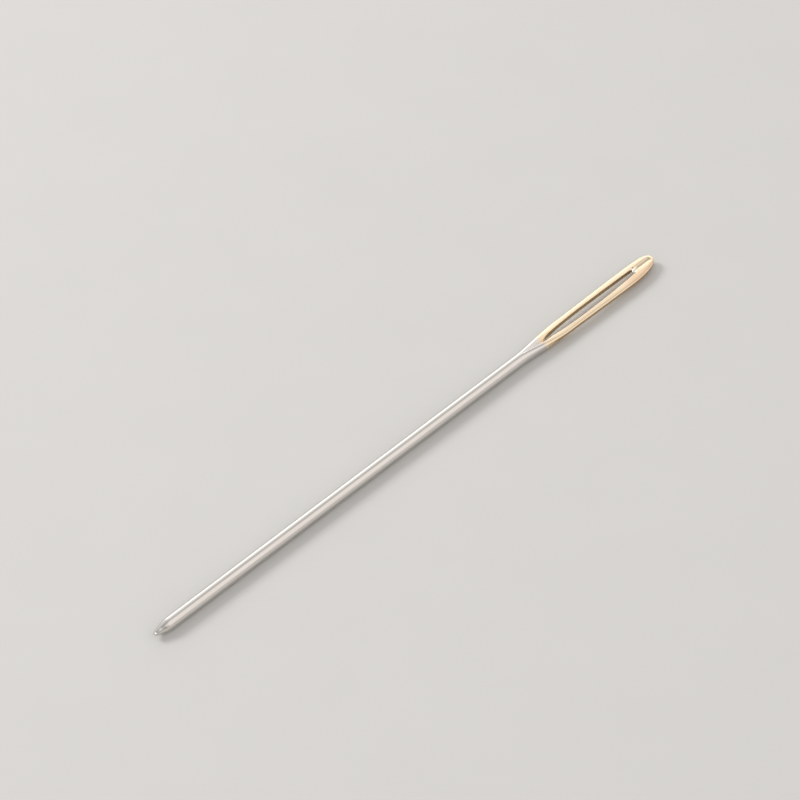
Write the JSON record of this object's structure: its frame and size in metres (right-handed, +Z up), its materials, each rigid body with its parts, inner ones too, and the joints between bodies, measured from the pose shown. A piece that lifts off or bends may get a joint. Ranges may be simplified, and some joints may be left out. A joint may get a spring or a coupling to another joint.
{
  "type": "yarn needle",
  "caption": "Long blunt steel yarn needle with a nickel plated round shaft and a flattened, gold plated long eye between stamped gutters.",
  "frame": {"origin": "middle of the needle's length and width, on the surface that the round shaft lies on", "axes": "+X along the needle from its point to the end of its head, +Y across the face of the eye, +Z up through the face of the eye"},
  "size_m": [0.07, 0.0022, 0.0013],
  "materials": {
    "steel": "hardened and tempered carbon steel, hidden under the plating",
    "nickel": "bright nickel plate with fine lengthwise polishing lines",
    "gold": "pale gold plate, satin on the pressed faces and brighter on the edges"
  },
  "bodies": {
    "root": {"steel_core": "steel", "nickel_plating": "nickel", "gold_plating": "gold"}
  },
  "joints": []
}
